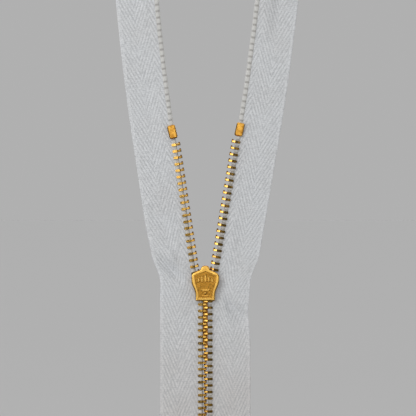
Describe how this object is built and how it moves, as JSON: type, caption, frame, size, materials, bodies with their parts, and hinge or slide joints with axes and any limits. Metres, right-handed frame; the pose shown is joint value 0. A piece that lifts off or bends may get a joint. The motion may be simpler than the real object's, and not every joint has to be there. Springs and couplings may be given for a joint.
{
  "type": "zipper",
  "caption": "Metal-tooth zipper, partly open: two woven tapes with meshing tooth rows, stops, and an auto-lock slider with its pull.",
  "frame": {"origin": "on the chain's centre line at the lower end of the closed chain, in the tapes' middle plane, where the sewn tapes hold the zipper", "axes": "+Z along the zipper towards its top stops, the way the slider closes it; +X to the right seen from the plain blade's side; +Y out of the side that carries the pull"},
  "size_m": [0.0511, 0.0072, 0.1634],
  "materials": {
    "woven_tape": "woven herringbone, matt",
    "bead_cord": "looped cord, matt",
    "tooth_brass": "polished",
    "stop_brass": "polished",
    "slider_brass": "cast and polished",
    "pull_brass": "cast and polished",
    "lock_steel": "spring steel"
  },
  "bodies": {
    "closed_chain": {"left_tape_lower": "woven_tape", "right_tape_lower": "woven_tape", "left_bead_lower": "bead_cord", "right_bead_lower": "bead_cord", "left_teeth_lower": "tooth_brass", "right_teeth_lower": "tooth_brass", "bottom_stop": "stop_brass"},
    "slider": {"slider_body": "slider_brass", "slider_crown": "slider_brass", "lock_spring": "lock_steel"},
    "lock_pin": {"lock_pin": "lock_steel"},
    "pull_tab": {"pull_tab": "pull_brass"},
    "left_half": {"left_tape_upper": "woven_tape", "left_bead_upper": "bead_cord", "left_teeth_upper": "tooth_brass", "left_top_stop": "stop_brass"},
    "left_tooth_1": {"left_tooth_in_slider_1": "tooth_brass"},
    "left_tooth_2": {"left_tooth_in_slider_2": "tooth_brass"},
    "left_tooth_3": {"left_tooth_in_slider_3": "tooth_brass"},
    "left_tooth_4": {"left_tooth_in_slider_4": "tooth_brass"},
    "right_half": {"right_tape_upper": "woven_tape", "right_bead_upper": "bead_cord", "right_teeth_upper": "tooth_brass", "right_top_stop": "stop_brass"},
    "right_tooth_1": {"right_tooth_in_slider_1": "tooth_brass"},
    "right_tooth_2": {"right_tooth_in_slider_2": "tooth_brass"},
    "right_tooth_3": {"right_tooth_in_slider_3": "tooth_brass"},
    "right_tooth_4": {"right_tooth_in_slider_4": "tooth_brass"},
    "right_tooth_5": {"right_tooth_in_slider_5": "tooth_brass"}
  },
  "joints": [
    {"name": "slider_slide", "type": "slide", "parent": "closed_chain", "child": "slider", "axis": [0, 0, 1], "range_m": [0, 0.0362], "deforming": ["left_tape_upper", "left_bead_upper", "left_teeth_upper", "right_tape_upper", "right_bead_upper", "right_teeth_upper", "left_tooth_in_slider_1", "left_tooth_in_slider_2", "left_tooth_in_slider_3", "left_tooth_in_slider_4", "right_tooth_in_slider_1", "right_tooth_in_slider_2", "right_tooth_in_slider_3", "right_tooth_in_slider_4", "right_tooth_in_slider_5"]},
    {"name": "left_half_swing", "type": "hinge", "parent": "closed_chain", "child": "left_half", "pos_m": [0, 0, 0.0489], "axis": [0, 1, 0], "range_deg": [0, 8.6]},
    {"name": "right_half_swing", "type": "hinge", "parent": "closed_chain", "child": "right_half", "pos_m": [0, 0, 0.0528], "axis": [0, -1, 0], "range_deg": [0, 9.6]},
    {"name": "left_tooth_1_turn", "type": "hinge", "parent": "closed_chain", "child": "left_tooth_1", "pos_m": [-0.00126, 0, 0.05584], "axis": [0, 1, 0], "range_deg": [0, 8.9]},
    {"name": "left_tooth_2_turn", "type": "hinge", "parent": "closed_chain", "child": "left_tooth_2", "pos_m": [-0.00132, 0, 0.05667], "axis": [0, 1, 0], "range_deg": [0, 17.76]},
    {"name": "left_tooth_3_turn", "type": "hinge", "parent": "closed_chain", "child": "left_tooth_3", "pos_m": [-0.00141, 0, 0.05714], "axis": [0, 1, 0], "range_deg": [0, 21.98]},
    {"name": "left_tooth_4_turn", "type": "hinge", "parent": "closed_chain", "child": "left_tooth_4", "pos_m": [-0.00128, 0, 0.05631], "axis": [0, 1, 0], "range_deg": [0, 18.54]},
    {"name": "right_tooth_1_turn", "type": "hinge", "parent": "closed_chain", "child": "right_tooth_1", "pos_m": [0.00119, 0, 0.0554], "axis": [0, -1, 0], "range_deg": [0, 1.96]},
    {"name": "right_tooth_2_turn", "type": "hinge", "parent": "closed_chain", "child": "right_tooth_2", "pos_m": [0.0011, 0, 0.05642], "axis": [0, -1, 0], "range_deg": [0, 9.48]},
    {"name": "right_tooth_3_turn", "type": "hinge", "parent": "closed_chain", "child": "right_tooth_3", "pos_m": [0.00113, 0, 0.05727], "axis": [0, -1, 0], "range_deg": [0, 16.57]},
    {"name": "right_tooth_4_turn", "type": "hinge", "parent": "closed_chain", "child": "right_tooth_4", "pos_m": [0.00112, 0, 0.05762], "axis": [0, -1, 0], "range_deg": [0, 19.04]},
    {"name": "right_tooth_5_turn", "type": "hinge", "parent": "closed_chain", "child": "right_tooth_5", "pos_m": [0.00053, 0, 0.05523], "axis": [0, -1, 0], "range_deg": [0, 12.58]},
    {"name": "lock_pin_lift", "type": "slide", "parent": "slider", "child": "lock_pin", "axis": [0, 1, 0], "range_m": [0, 0.0006], "stiffness_N_per_m": 20, "deforming": ["lock_spring"]},
    {"name": "pull_swing", "type": "hinge", "parent": "slider", "child": "pull_tab", "pos_m": [0, 0.0033, 0.0585], "axis": [1, 0, 0], "range_deg": [0, 175]}
  ],
  "couplings": [
    {"joint": "left_half_swing", "follows": "slider_slide", "rad_per_m": 4.1463},
    {"joint": "right_half_swing", "follows": "slider_slide", "rad_per_m": 4.6285},
    {"joint": "left_tooth_1_turn", "follows": "slider_slide", "rad_per_m": 4.2887},
    {"joint": "left_tooth_2_turn", "follows": "slider_slide", "rad_per_m": 8.5605},
    {"joint": "left_tooth_3_turn", "follows": "slider_slide", "rad_per_m": 10.599},
    {"joint": "left_tooth_4_turn", "follows": "slider_slide", "rad_per_m": 8.9397},
    {"joint": "right_tooth_1_turn", "follows": "slider_slide", "rad_per_m": 0.94473},
    {"joint": "right_tooth_2_turn", "follows": "slider_slide", "rad_per_m": 4.5688},
    {"joint": "right_tooth_3_turn", "follows": "slider_slide", "rad_per_m": 7.9903},
    {"joint": "right_tooth_4_turn", "follows": "slider_slide", "rad_per_m": 9.1803},
    {"joint": "right_tooth_5_turn", "follows": "slider_slide", "rad_per_m": 6.064}
  ]
}
